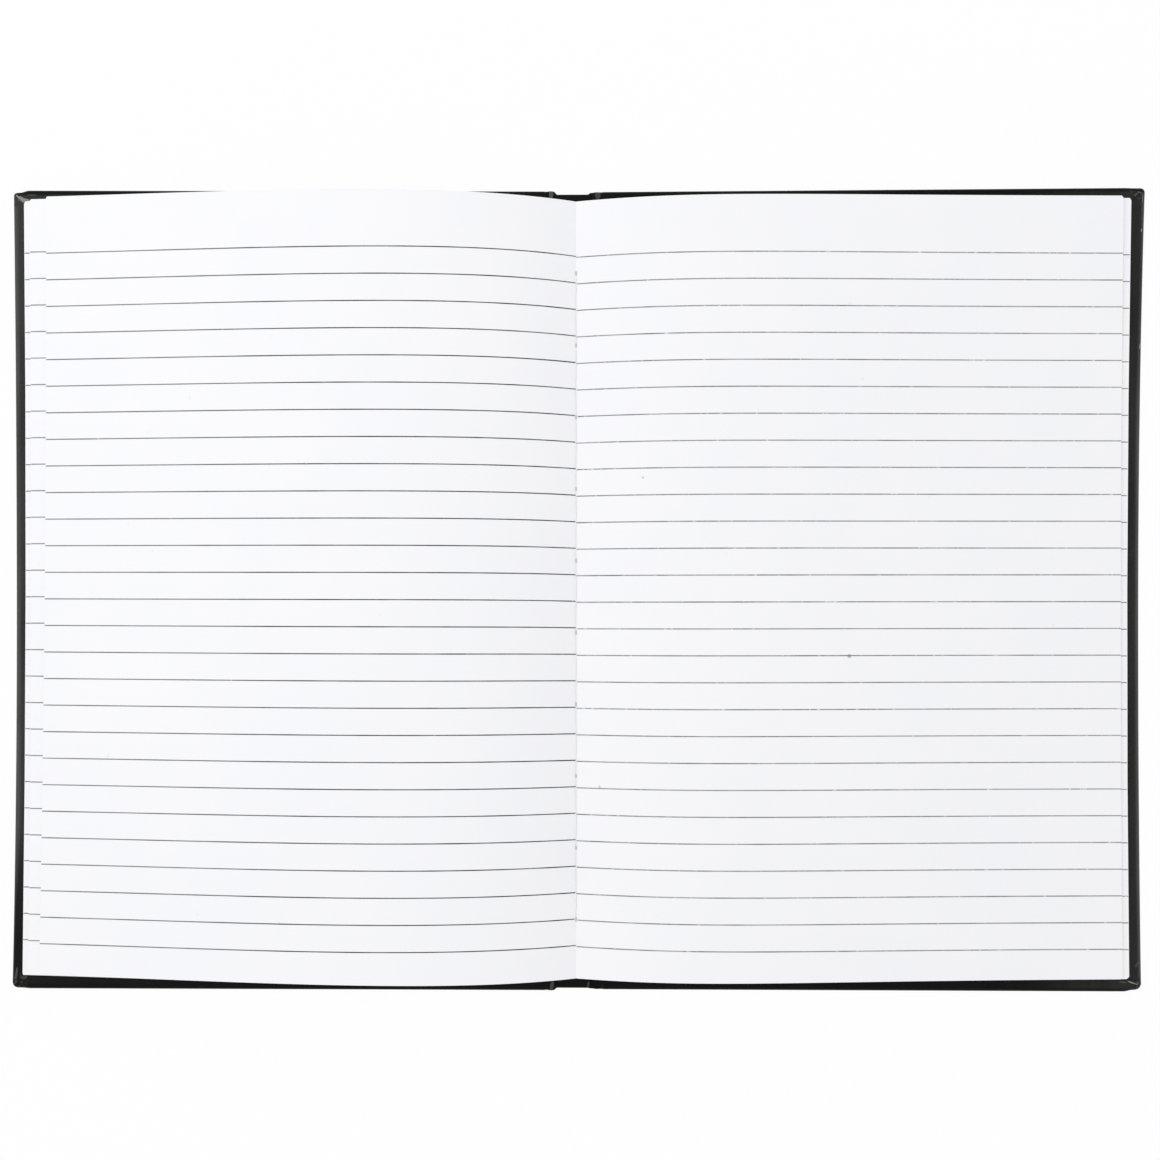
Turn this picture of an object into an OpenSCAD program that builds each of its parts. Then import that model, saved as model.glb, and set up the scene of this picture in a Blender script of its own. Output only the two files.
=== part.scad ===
// Hardcover ruled notebook, lying open on its back at the middle of a sewn section.
// Origin: on the table under the middle of the spine. +X to the right-hand page, +Y to the head, +Z up.

/* [Leaves] */
// Width of a leaf, fold to fore-edge
leaf_w = 146.5; // [110:0.5:220]
// Height of a leaf, tail to head
leaf_h = 210; // [148:1:300]
// Thickness of one leaf
leaf_t = 0.076; // [0.06:0.002:0.12]
// Leaves in one sewn section
section_leaves = 16; // [8:4:24]
// Whole sections to the left of the opening
full_left = 3; // [2:1:5]
// Whole sections to the right of the opening
full_right = 2; // [1:1:5]
// Share of a section's height that stands open as a slit above it
slit_share = 0.14; // [0.05:0.01:0.3]
// Distance from the folds at which the slits between sections begin
slit_root = 9; // [6:0.5:16]

/* [Opening] */
// Height of the gutter above the block's back
gutter_rise = 1.25; // [0.6:0.05:3]
// Half of the flat floor of the gutter
gutter_half = 0.4; // [0.35:0.05:0.8]
// How evenly the air lies between the leaves, 1 for evenly
air_spread = 0.8; // [0.5:0.05:1]
// Left leaves: distance from the fold at which their curve is pulled up
left_reach = 35; // [20:1:45]
// Left leaves: height to which it is pulled up there
left_pull = 19.6; // [8:0.1:26]
// Left leaves: distance from the fold up to which the curve is held
left_far = 84; // [60:1:100]
// Left leaves: height at which it is held there, over the pressed stack
left_hold = 6.4; // [2:0.1:12]
// Right leaves: distance from the fold at which their curve is pulled up
right_reach = 35.5; // [20:0.5:45]
// Right leaves: height to which it is pulled up there
right_pull = 11.2; // [4:0.1:20]
// Right leaves: distance from the fold up to which the curve is held
right_far = 52; // [46:1:100]
// Right leaves: height at which it is held there, over the pressed stack
right_hold = 2.8; // [1:0.1:10]
// Left fore-edge: step from the lower sections back to the last whole one
left_step_low = 1.9; // [0.5:0.1:5]
// Left fore-edge: further step back to the open half section
left_step_high = 4.2; // [0.5:0.1:6]
// Right fore-edge: step from the whole sections back to the open half one
right_step = 3; // [0.5:0.1:6]
// Left fore-edge: how far its first section stands short of the leaves' full width
left_short = 1.3; // [0:0.1:3]
// Right fore-edge: how far its first section stands short of it
right_short = 0.8; // [0:0.1:3]
// Turn of the open left half section about the gutter, in degrees
skew = 0.35; // [0.1:0.05:0.6]

/* [Ruling] */
// Distance between ruled lines
line_pitch = 7.165; // [5:0.005:12]
// Head edge to the first line
line_head = 14.8; // [10:0.1:40]
// Least distance from the last line to the tail edge
line_tail = 8; // [4:0.5:30]
// Width of a ruled line
line_w = 0.3; // [0.2:0.05:0.6]
// Thickness of the ink
ink_t = 0.05; // [0.03:0.01:0.1]

/* [Sewing] */
// Distance between sewing stations
station_pitch = 19.4; // [10:0.1:40]
// Head edge to the first station
station_head = 19.4; // [10:0.1:40]
// Least distance from the last station to the tail edge
station_tail = 12; // [8:0.5:40]
// Diameter of the thread
thread_d = 0.5; // [0.3:0.05:0.6]
// Clearance of the thread in its needle holes, all round
thread_gap = 0.15; // [0.1:0.05:0.3]
// Width that thread and glue add to the block's back
back_swell = 0.5; // [0:0.1:1.5]
// Thickness of the gauze and glue on the block's back
lining_t = 0.3; // [0.2:0.05:0.6]
// Gap from the ends of the gauze to the head and tail of the leaves
lining_short = 5; // [3:0.5:7]

/* [Boards] */
// Thickness of a board
board_t = 2; // [1.6:0.1:3.5]
// Square: how far the cover stands out past the leaves at head and tail
square_y = 3.4; // [1.5:0.1:6]
// Square at the fore-edge, past the leaves' full width
square_x = 2.8; // [1.5:0.1:6]
// Rounding of a board's edges
board_edge_r = 0.5; // [0.2:0.1:0.7]
// Rounding of a board's corners, seen from above
board_corner_r = 1.1; // [0.8:0.1:4]

/* [Cover cloth] */
// Thickness of the cover cloth
cloth_t = 0.4; // [0.25:0.05:0.7]
// Width of the cloth turned in on the inside of the boards
turn_in = 15; // [10:1:25]
// Width and depth of the crease at the mitred corners
mitre_crease = 0.2; // [0.1:0.05:0.25]
// Width of a joint, between the spine card and a board
joint_w = 3.6; // [2.5:0.1:8]
// How far the cloth bulges out at the ends of a joint
joint_bulge = 0.3; // [0.1:0.05:0.6]

/* [Spine] */
// Width that the spine card adds to the block's back, each side
spine_over = 0.5; // [0:0.1:2]
// Thickness of the spine card
spine_t = 1; // [0.6:0.05:1.3]
// How far the cover's spine stands back at head and tail
spine_short = 0.7; // [0.5:0.1:3]

/* [Pastedowns] */
// Thickness of a pastedown
paste_t = 0.15; // [0.1:0.01:0.25]
// Gap from the edge of a pastedown in to the edge of the leaves over it
paste_inset = 0.3; // [0:0.1:2]

/* [Hidden] */
LEFT = -1;
RIGHT = 1;
$fn = 48;
curve_steps = 16;
over = 1;

// Block of leaves
section_t = section_leaves * leaf_t;
sections = full_left + full_right + 1;
back_w = sections * section_t + back_swell;
gutter_x = back_w * ((full_left + 0.5) / sections - 0.5);
fore_x = back_w / 2 + leaf_w;
upper_from = full_left;

// Levels, from the table up
board_z = cloth_t;
board_top = board_z + board_t;
turn_top = board_top + cloth_t;
block_z = turn_top + paste_t;
gutter_z = block_z + gutter_rise;
card_top = cloth_t + spine_t;

// Case, from the spine's middle out
spine_w = back_w + 2 * spine_over;
hinge_x = spine_w / 2 + joint_w / 2;
board_x = spine_w / 2 + joint_w;
cover_x = fore_x + square_x;
cover_y = leaf_h / 2 + square_y;
spine_y = cover_y - spine_short;
bulge_r = (pow(joint_w / 2, 2) + pow(joint_bulge, 2)) / (2 * joint_bulge);

// Rows along the leaf
line_rows = floor((leaf_h - line_head - line_tail) / line_pitch) + 1;
line_y = [for (i = [0 : line_rows - 1]) leaf_h / 2 - line_head - i * line_pitch];
station_rows = floor((leaf_h - station_head - station_tail) / station_pitch) + 1;
station_y = [for (i = [0 : station_rows - 1]) leaf_h / 2 - station_head - i * station_pitch];

function full(side) = side == LEFT ? full_left : full_right;
function reach(side) = side == LEFT ? left_reach : right_reach;
function pull(side) = side == LEFT ? left_pull : right_pull;
function far(side) = side == LEFT ? left_far : right_far;
function hold(side) = side == LEFT ? left_hold : right_hold;
function short(side) = side == LEFT ? left_short : right_short;
function flip(list) = [for (i = [len(list) - 1 : -1 : 0]) list[i]];

// A leaf lies at t from 0, the one on the cover, to 1, the one at the opening.
// Section j runs from t_low to t_high, and the topmost is the open half of a section.
function t_low(side, j) = j / (full(side) + 0.5);
function t_high(side, j) = j == full(side) ? 1 : t_low(side, j + 1 - slit_share);

// Fore-edge of the open half section, and how far section j stands out past it
function upper_x(side) = fore_x - short(side) - step_out(side, 0);
function step_out(side, j) = j == full(side) ? 0
                           : side == RIGHT ? right_step
                           : left_step_high + (j < full(side) - 1 ? left_step_low : 0);

// A leaf is a cubic curve from its fold to the open section's fore-edge, then straight on
function fold_point(side, t) = [side * back_w / 2 * (1 - t) + (gutter_x + side * gutter_half) * t,
                                block_z + gutter_rise * t];
function edge_point(side, t) = [side * upper_x(side), block_z + (full(side) + 0.5) * section_t * t];
function pull_point(side, t) = fold_point(side, t) + [side * reach(side), pow(t, air_spread) * pull(side)];
function hold_point(side, t) = [fold_point(side, t)[0] + side * far(side),
                                edge_point(side, t)[1] + pow(t, air_spread) * hold(side)];
function leaf_point(side, t, u) = pow(1 - u, 3) * fold_point(side, t)
                                + 3 * pow(1 - u, 2) * u * pull_point(side, t)
                                + 3 * (1 - u) * u * u * hold_point(side, t)
                                + u * u * u * edge_point(side, t);
function end_slope(side, t) = (edge_point(side, t)[1] - hold_point(side, t)[1])
                            / abs(edge_point(side, t)[0] - hold_point(side, t)[0]);
function past_edge(side, t, out) = edge_point(side, t) + out * [side, end_slope(side, t)];
function leaf_curve(side, t, from, out) = concat(
    [for (i = [0 : curve_steps]) leaf_point(side, t, from + (1 - from) * i / curve_steps)],
    out > 0 ? [past_edge(side, t, out)] : []);

function root_u(side) = slit_root / (3 * reach(side));
function flat_underside(side) = [[side * back_w / 2, block_z],
                                 [side * (upper_x(side) + step_out(side, 0)), block_z]];
function section_under(side, j, from, out) = j == 0 ? flat_underside(side)
                                                    : leaf_curve(side, t_low(side, j), from, out);

// Outline of sections last to first, like a comb: out over each section and back under it
function comb(side, first, last, from, under_from, out = 0) = [
    for (j = [last : -1 : first])
        each concat(
            leaf_curve(side, t_high(side, j), j == last ? from : root_u(side), step_out(side, j) + out),
            flip(section_under(side, j, j == first ? under_from : root_u(side), step_out(side, j) + out)))];

skew_out = leaf_h / 2 * sin(skew) + 0.1;
upper_t = t_low(LEFT, upper_from);
block_outline = concat(
    [fold_point(LEFT, 1), leaf_point(LEFT, (upper_t + 1) / 2, root_u(LEFT))],
    comb(LEFT, 0, upper_from - 1, root_u(LEFT), 0),
    flip(comb(RIGHT, 0, full_right, 0, 0)));
upper_outline = comb(LEFT, upper_from, full_left, 0, 0, skew_out);

function ink_band(side, out) = let (page = leaf_curve(side, 1, 0, out))
    concat(page, [for (p = flip(page)) p + [0, ink_t]]);

// Extrudes an outline drawn in X and Z along Y
module along_y(from, to) {
    translate([0, to, 0]) rotate([90, 0, 0]) linear_extrude(to - from) children();
}

module turned_leaves() {
    translate([gutter_x, 0, 0]) rotate([0, 0, -skew]) translate([-gutter_x, 0, 0]) children();
}

// A slab whose fore-edge, head and tail edges are rounded, from x0 out to x1
module soft_slab(x0, x1, half_h, z0, height, corner_r, edge_r) {
    intersection() {
        translate([0, 0, z0]) linear_extrude(height) union() {
            translate([x0, -half_h]) square([x1 - x0 - corner_r, 2 * half_h]);
            translate([x0, corner_r - half_h]) square([x1 - x0, 2 * (half_h - corner_r)]);
            for (y = [corner_r - half_h, half_h - corner_r])
                translate([x1 - corner_r, y]) circle(corner_r);
        }
        along_y(-half_h - over, half_h + over) union() {
            translate([x0, z0]) square([x1 - x0 - edge_r, height]);
            translate([x0, z0 + edge_r]) square([x1 - x0, height - 2 * edge_r]);
            for (z = [z0 + edge_r, z0 + height - edge_r]) translate([x1 - edge_r, z]) circle(edge_r);
        }
        translate([x0 - over, 0, 0]) rotate([90, 0, 90]) linear_extrude(x1 - x0 + 2 * over) union() {
            translate([edge_r - half_h, z0]) square([2 * (half_h - edge_r), height]);
            translate([-half_h, z0 + edge_r]) square([2 * half_h, height - 2 * edge_r]);
            for (y = [edge_r - half_h, half_h - edge_r], z = [z0 + edge_r, z0 + height - edge_r])
                translate([y, z]) circle(edge_r);
        }
    }
}

// A box between two corners
module block(low, high) {
    translate(low) cube(high - low);
}

// Draws at the right, or mirrored at the left
module at_side(side) {
    if (side == LEFT) mirror([1, 0, 0]) children();
    else children();
}

// Cloth of half a joint, from x0 to x1: one layer, and a second where it is turned in at head and tail
module joint_cloth(x0, x1) {
    end_y = cover_y + joint_bulge;
    module layer(z0, z1) {
        translate([0, 0, z0]) linear_extrude(z1 - z0) intersection() {
            translate([x0, -end_y]) square([x1 - x0, 2 * end_y]);
            union() {
                translate([x0, -cover_y]) square([x1 - x0, 2 * cover_y]);
                for (s = [-1, 1]) translate([hinge_x, s * (end_y - bulge_r)]) circle(bulge_r);
            }
        }
    }
    difference() {
        layer(0, 2 * cloth_t);
        block([x0 - over, turn_in - cover_y, cloth_t], [x1 + over, cover_y - turn_in, 2 * cloth_t + over]);
    }
}

// Where the turned-in cloth steps up beside a board or the spine card, at head and tail
module cloth_riser(x0, x1, top, half_h) {
    for (s = [-1, 1]) mirror([0, s == 1 ? 0 : 1, 0])
        block([x0, cover_y - turn_in, cloth_t], [x1, half_h, top]);
}

module page_block() {
    color([0.96, 0.96, 0.98]) difference() {
        union() {
            along_y(-leaf_h / 2, leaf_h / 2) polygon(block_outline);
            intersection() {
                along_y(-leaf_h / 2 - over, leaf_h / 2 + over) polygon(upper_outline);
                turned_leaves() block([-upper_x(LEFT), -leaf_h / 2, 0],
                                      [gutter_x + over, leaf_h / 2, gutter_z + left_pull]);
            }
        }
        for (y = station_y) translate([gutter_x, y, block_z - over])
            cylinder(d = thread_d + 2 * thread_gap, h = gutter_rise + 2 * over);
    }
}

module ruling_left() {
    color([0.62, 0.63, 0.66]) intersection() {
        along_y(-leaf_h / 2 - over, leaf_h / 2 + over) polygon(ink_band(LEFT, skew_out));
        turned_leaves() for (y = line_y)
            block([-upper_x(LEFT), y - line_w / 2, 0], [gutter_x, y + line_w / 2, gutter_z + left_pull]);
    }
}

module ruling_right() {
    color([0.66, 0.67, 0.69]) for (y = line_y)
        along_y(y - line_w / 2, y + line_w / 2) polygon(ink_band(RIGHT, 0));
}

module sewing_thread() {
    axis_z = gutter_z + thread_d / 2;
    first_y = station_y[0];
    last_y = station_y[station_rows - 1];
    color([0.93, 0.93, 0.9]) union() {
        translate([gutter_x, first_y, axis_z]) rotate([90, 0, 0]) cylinder(d = thread_d, h = first_y - last_y);
        for (y = [first_y, last_y]) translate([gutter_x, y, axis_z]) sphere(d = thread_d);
        for (y = station_y) translate([gutter_x, y, block_z]) cylinder(d = thread_d, h = axis_z - block_z);
    }
}

module spine_lining() {
    half_h = leaf_h / 2 - lining_short;
    color([0.88, 0.86, 0.78]) block([-back_w / 2, -half_h, block_z - lining_t], [back_w / 2, half_h, block_z]);
}

module spine_card() {
    half_h = spine_y - cloth_t;
    color([0.62, 0.58, 0.52]) block([-spine_w / 2, -half_h, cloth_t], [spine_w / 2, half_h, card_top]);
}

module spine_cloth() {
    top = card_top + cloth_t;
    color([0.07, 0.07, 0.07]) union() {
        difference() {
            block([-spine_w / 2, -spine_y, 0], [spine_w / 2, spine_y, top]);
            block([-spine_w / 2 - over, cloth_t - spine_y, cloth_t],
                  [spine_w / 2 + over, spine_y - cloth_t, card_top]);
            block([-spine_w / 2 - over, turn_in - spine_y, cloth_t],
                  [spine_w / 2 + over, spine_y - turn_in, top + over]);
        }
        for (side = [LEFT, RIGHT]) at_side(side) {
            joint_cloth(spine_w / 2, hinge_x);
            cloth_riser(spine_w / 2, spine_w / 2 + cloth_t, top, spine_y);
        }
    }
}

module board(side) {
    color([0.62, 0.58, 0.52]) at_side(side)
        soft_slab(board_x, cover_x - cloth_t, cover_y - cloth_t, board_z, board_t, board_corner_r, board_edge_r);
}

module cover_cloth(side) {
    window_x = cover_x - turn_in;
    window_y = cover_y - turn_in;
    crease_l = (turn_in - board_corner_r - cloth_t) * sqrt(2);
    color([0.07, 0.07, 0.07]) at_side(side) union() {
        difference() {
            soft_slab(board_x, cover_x, cover_y, 0, turn_top, board_corner_r + cloth_t, board_edge_r + cloth_t);
            soft_slab(board_x, cover_x - cloth_t, cover_y - cloth_t, board_z, board_t,
                      board_corner_r, board_edge_r);
            block([board_x - over, -window_y, board_z + cloth_t], [window_x, window_y, turn_top + over]);
            for (s = [-1, 1]) translate([window_x, s * window_y, turn_top]) rotate([0, 0, s * 45])
                block([-over, -mitre_crease / 2, -mitre_crease], [crease_l, mitre_crease / 2, over]);
        }
        joint_cloth(hinge_x, board_x);
        cloth_riser(board_x - cloth_t, board_x, turn_top, cover_y - 2 * (board_edge_r + cloth_t));
    }
}

// A sheet that lies on the turned-in cloth at three edges and steps down on to the board inside it
module pastedown(side) {
    end_x = fore_x - short(side) - paste_inset;
    half_h = leaf_h / 2 - paste_inset;
    window_x = cover_x - turn_in;
    window_y = cover_y - turn_in;
    color([0.95, 0.95, 0.94]) at_side(side) difference() {
        union() {
            block([board_x, -half_h, turn_top], [end_x, half_h, block_z]);
            block([board_x, -window_y, board_top], [window_x, window_y, block_z]);
        }
        block([board_x - over, paste_t - window_y, board_top + paste_t],
              [window_x - paste_t, window_y - paste_t, block_z + over]);
    }
}

module front_board() { board(LEFT); }
module front_cover_cloth() { cover_cloth(LEFT); }
module front_pastedown() { pastedown(LEFT); }
module back_board() { board(RIGHT); }
module back_cover_cloth() { cover_cloth(RIGHT); }
module back_pastedown() { pastedown(RIGHT); }

page_block();
ruling_left();
ruling_right();
sewing_thread();
spine_lining();
spine_card();
spine_cloth();
front_board();
front_cover_cloth();
front_pastedown();
back_board();
back_cover_cloth();
back_pastedown();
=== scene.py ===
"""Open hardcover notebook: its finished surfaces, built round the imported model.

Lengths are in millimetres until put_mesh() turns them into metres. x runs across the opening, y towards
the head and z up from the table, with the origin under the middle of the spine.
"""

import math
from collections import namedtuple

import bpy
import numpy as np
from mathutils import Matrix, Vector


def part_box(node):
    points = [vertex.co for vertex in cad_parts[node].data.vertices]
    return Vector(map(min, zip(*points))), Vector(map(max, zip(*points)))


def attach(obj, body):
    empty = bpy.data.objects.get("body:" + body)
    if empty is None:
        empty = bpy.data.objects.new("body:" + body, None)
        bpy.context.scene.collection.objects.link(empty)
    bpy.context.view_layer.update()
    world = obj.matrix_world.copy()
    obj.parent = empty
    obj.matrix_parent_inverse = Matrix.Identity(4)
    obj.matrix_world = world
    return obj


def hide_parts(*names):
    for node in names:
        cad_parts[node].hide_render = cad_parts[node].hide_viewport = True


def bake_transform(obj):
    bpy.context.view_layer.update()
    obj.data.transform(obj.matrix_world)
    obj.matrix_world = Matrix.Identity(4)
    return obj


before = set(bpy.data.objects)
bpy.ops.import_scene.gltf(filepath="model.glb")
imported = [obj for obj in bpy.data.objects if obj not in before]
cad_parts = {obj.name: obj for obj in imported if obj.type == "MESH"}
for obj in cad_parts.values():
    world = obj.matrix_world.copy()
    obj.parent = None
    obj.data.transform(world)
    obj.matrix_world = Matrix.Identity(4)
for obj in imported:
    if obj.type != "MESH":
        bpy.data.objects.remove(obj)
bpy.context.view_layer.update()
MM = 0.001
LEFT = -1
RIGHT = 1
SHARP_DEG = 40


def node_box(node):
    """Lowest and highest corner of a CAD node, in millimetres."""
    return [np.array(corner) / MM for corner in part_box(node)]


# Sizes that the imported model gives
board_low, board_high = node_box("back_board")
thread_low, thread_high = node_box("sewing_thread")
block_low, block_high = node_box("page_block")
cloth_high = node_box("back_cover_cloth")[1]
spine_high = node_box("spine_cloth")[1]
card_high = node_box("spine_card")[1]
gauze_high = node_box("spine_lining")[1]
paste_high = node_box("back_pastedown")[1]
BOARD_X = board_low[0]
COVER_X = cloth_high[0]
CLOTH_T = board_low[2]
BOARD_TOP = board_high[2]
TURN_TOP = cloth_high[2]
COVER_Y = board_high[1] + CLOTH_T
CARD_X = card_high[0]
SPINE_Y = card_high[1] + CLOTH_T
SPINE_TOP = spine_high[2]
BACK_X = gauze_high[0]
BLOCK_Z = gauze_high[2]
THREAD_D = thread_high[0] - thread_low[0]
GUTTER_X = (thread_low[0] + thread_high[0]) / 2
GUTTER_Z = thread_high[2] - THREAD_D
LEFT_FORE_X = -block_low[0]
RIGHT_FORE_X = block_high[0]
PASTE_Y = paste_high[1]
PASTE_T = paste_high[2] - TURN_TOP

# Leaves, with the same driving sizes as the construction
LEAF_H = 210.0
LEAF_T = 0.076
SECTION_LEAVES = 16
SECTION_T = SECTION_LEAVES * LEAF_T

# How the leaves fan out
LEFT_SEED = 7
RIGHT_SEED = 11
SLIT_SHARE = 0.14  # of a section's height, left open above it
AIR_SPREAD = 0.8  # power by which the fanning grows up the block
LEAST_GAP = 0.55
CLUMP_GAP = 1.4  # added where one clump of leaves ends
PAST_EDGE = 10.0  # how far a leaf's curve goes on past the open page's edge
PAPER_SHARE = 0.87  # of a leaf's thickness, the rest is air
LEAST_PAPER = 0.004

# How they lie, wear and fold
LEAF_POINTS = 40
PAGE_POINTS = 120
CROWDING = 0.55  # share of a leaf's points that crowd towards the fold
LEAN_REACH = 120.0  # from the gutter to where slant, bow and taper are full
TRIM_X = 0.06
TRIM_Y = 0.05
WEAR_REACH = 6.0
WEAR_CURVE = 1.6
CORNER_REACH = 0.75
GUTTER_HALF = 0.4
VALLEY_PULL = 0.34
FOLD_DEPTH = 0.3
FOLD_HALF = 0.12
FOLD_ROOM = 0.08
NEEDLE_DEPTH = 0.55
NEEDLE_X = 0.3
NEEDLE_Y = 0.55
ROOT_SHARE = 0.8
ROOT_ROUND = 0.3

# Ruling and sewing
LINE_PITCH = 7.165
LINE_HEAD = 14.8
LINE_COUNT = 27
LINE_W = 0.3
LINE_THIN = 0.86
LINE_WAVER = 0.22
INK_T = 0.012
LINE_DRIFT = 18.0
LINE_ENDS = 141.5
GUTTER_SLIP = 0.27
SLIP_FADE = 25.0
STATION_PITCH = 19.4
STATION_COUNT = 10
STITCH_SINK = 0.08
STITCH_DIVE = 0.8
STITCH_BEND = 0.5
STITCH_SWAY = 0.04

# Case cloth
TURN_IN = 15.0
FLAP_ROWS = (9.0, 5.0, 3.4, 2.4, 1.7)
UNDER_REACH = 5
EDGE_R = 1.2
EDGE_SHARE = 0.45  # of the room inside the cloth, where that is too low for EDGE_R
LAST_COLUMN = 2.5
CORNER_ANGLES = np.array([0, 12, 24, 34, 40, 44.4, 45.6, 50, 56, 66, 78, 90.0])
CORNER_LIFT = np.array([0, 0, 0, -0.02, -0.1, -0.16, 0.07, 0.09, 0.05, 0.02, 0, 0])
CORNER_SPREAD = 1.6
CUT_FROM = 4.5
CUT_TO = 1.9
LEAST_ROOM = 0.03
GROOVE = 0.45
JOINT_ROOM = 0.5
JOINT_EASE = 0.9
BEND_MARGIN = 0.1
SPINE_SLIP = 0.37
SPINE_BULGE = 0.25

# Boards and endpapers
BOARD_GAP = 0.05
BOARD_SHORT_X = 0.11
BOARD_SHORT_Y = 0.06
BOARD_SKIN = 0.015
BOARD_ROUND = 0.5
BOARD_CORNER = 1.2
PASTE_SINK = 0.01
PASTE_INSIDE = 0.3
PASTE_SAG = 0.75
STEP_X = (3.2, 1.8)  # start and end of the step on to the turned-in cloth, in from its cut edge
STEP_Y = (2.6, 1.2)

# A side's leaves: whole sections, the two handles of the leaves' curve, the open page's fore-edge, and over
# how far the leaves slip. Then one value for each section, from the lowest up: how far its fore-edge passes
# the open page's, how far its leaves and its lines slip towards the head, slant and bow of its fore-edge, the
# share by which it is shorter there, and wear of its head and tail corners.
Stack = namedtuple(
    "Stack", "side full reach pull far hold upper_x drift steps lifts line_lifts skews bows tapers wear")
LEFT_STACK = Stack(
    LEFT, full=3, reach=35.0, pull=19.6, far=84.0, hold=6.4, upper_x=LEFT_FORE_X - 6.1, drift=50.0,
    steps=(6.1, 6.1, 4.2, 0), lifts=(0.53, 0.53, 0.8, 1.2), line_lifts=(1.2, 1.2, 1.25, 0.68),
    skews=(0.0035, 0.0035, 0.0035, 0.0106), bows=(0.0045, 0.0045, 0.0045, 0.0045),
    tapers=(0, 0, 0, 0), wear=((0.5, 0.15), (0.5, 0.15), (0.5, 0.2), (0.3, 0.3)))
RIGHT_STACK = Stack(
    RIGHT, full=2, reach=35.5, pull=11.2, far=52.0, hold=2.8, upper_x=RIGHT_FORE_X - 2.8, drift=70.0,
    steps=(2.07, 2.07, 0), lifts=(0.48, 0.48, 0.83), line_lifts=(-0.25, -0.25, 0.0),
    skews=(0.0012, 0.0012, 0), bows=(0.0056, 0.0056, 0.0045),
    tapers=(0.0026, 0.0026, 0.0012), wear=((0.45, 0.75), (0.45, 0.75), (0.55, 0.5)))
# The cover's outline: how far head, tail and fore-edge stand out, their corners' cut and radius, and where
# the joint starts and how far it bulges
Half = namedtuple(
    "Half", "head_near head_out tail_near tail_out head_corner tail_corner middle_in head_cut tail_cut "
            "head_radius tail_radius joint_from bulge")
FRONT_HALF = Half(
    head_near=-0.15, head_out=0.7, tail_near=0.4, tail_out=0.5, head_corner=-0.3, tail_corner=0.4,
    middle_in=0.92, head_cut=0.6, tail_cut=0.2, head_radius=1.0, tail_radius=1.6, joint_from=0.1, bulge=0.2)
BACK_HALF = Half(
    head_near=-0.35, head_out=0.25, tail_near=0.1, tail_out=0.1, head_corner=0.9, tail_corner=0.25,
    middle_in=0.68, head_cut=0.1, tail_cut=0.45, head_radius=1.2, tail_radius=1.9, joint_from=-0.7, bulge=0.1)


def ease(x, start, end):
    """Smooth step from 0 at start to 1 at end."""
    t = np.clip((np.asarray(x, float) - start) / (end - start), 0, 1)
    return t * t * (3 - 2 * t)


def hump(x, start, end):
    """Smooth hump, 0 at start and end and 1 halfway: the square of a half sine."""
    t = np.clip((np.asarray(x, float) - start) / (end - start), 0, 1)
    return np.sin(math.pi * t) ** 2


# Meshes

def grid_faces(rows, columns, offset=0, closed=False):
    """Quads of a grid of points numbered row by row, closed across its columns if asked."""
    number = offset + np.arange(rows * columns).reshape(rows, columns)
    if closed:
        number = np.concatenate([number, number[:, :1]], 1)
    return np.stack([number[:-1, :-1], number[1:, :-1], number[1:, 1:], number[:-1, 1:]], -1).reshape(-1, 4)


def sheet_solid(x, y, top, low):
    """A closed thin solid over a grid: the points (x, y, top) above, (x, y, low) below, and a rim between.

    x grows along the rows' index and y along the columns' index, so that the upper face looks up.
    """
    rows, columns = top.shape
    x, y = np.broadcast_to(x, top.shape), np.broadcast_to(y, top.shape)
    points = np.concatenate([np.stack([x, y, z], -1).reshape(-1, 3) for z in (top, low)])
    number = np.arange(rows * columns).reshape(rows, columns)
    rim = np.concatenate([number[:, 0], number[-1, 1:], number[-2::-1, -1], number[0, -2::-1]])
    below = rim + rows * columns
    sides = np.stack([rim[:-1], below[:-1], below[1:], rim[1:]], -1)
    under = grid_faces(rows, columns, rows * columns)[:, ::-1]
    return points, [grid_faces(rows, columns), under, sides]


def sided_sheet(side, x, y, top, low):
    """sheet_solid() of a sheet whose rows run out from the gutter, so that it looks up on either side."""
    if side == LEFT:
        x, y, top, low = x[::-1], y[::-1], top[::-1], low[::-1]
    return sheet_solid(x, y, top, low)


def joined(solids):
    """Several (points, faces) solids as one, with the faces renumbered."""
    points, faces, count = [], [], 0
    for solid_points, solid_faces in solids:
        points.append(solid_points)
        faces += [block + count for block in solid_faces]
        count += len(solid_points)
    return np.concatenate(points), faces


def put_mesh(name, solid, finish):
    """An object of the solid's points and faces, smooth but for edges sharper than SHARP_DEG."""
    points, faces = solid
    mesh = bpy.data.meshes.new(name)
    mesh.from_pydata((points * MM).tolist(), [], [face for block in faces for face in block.tolist()])
    mesh.shade_smooth()
    mesh.set_sharp_from_angle(angle=math.radians(SHARP_DEG))
    mesh.materials.append(finish)
    made = bpy.data.objects.new(name, mesh)
    bpy.context.scene.collection.objects.link(made)
    return made


# Leaves

def fold_point(stack, t):
    """Where the leaf at t leaves the back: on the line from the back's corner up to the gutter."""
    x = stack.side * BACK_X * (1 - t) + (GUTTER_X + stack.side * GUTTER_HALF) * t
    return np.stack([x, BLOCK_Z + (GUTTER_Z - BLOCK_Z) * t])


def section_level(stack, j):
    """Level t of the lower face of section j: the open section is half a section on each side."""
    return j / (stack.full + 0.5)


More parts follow.
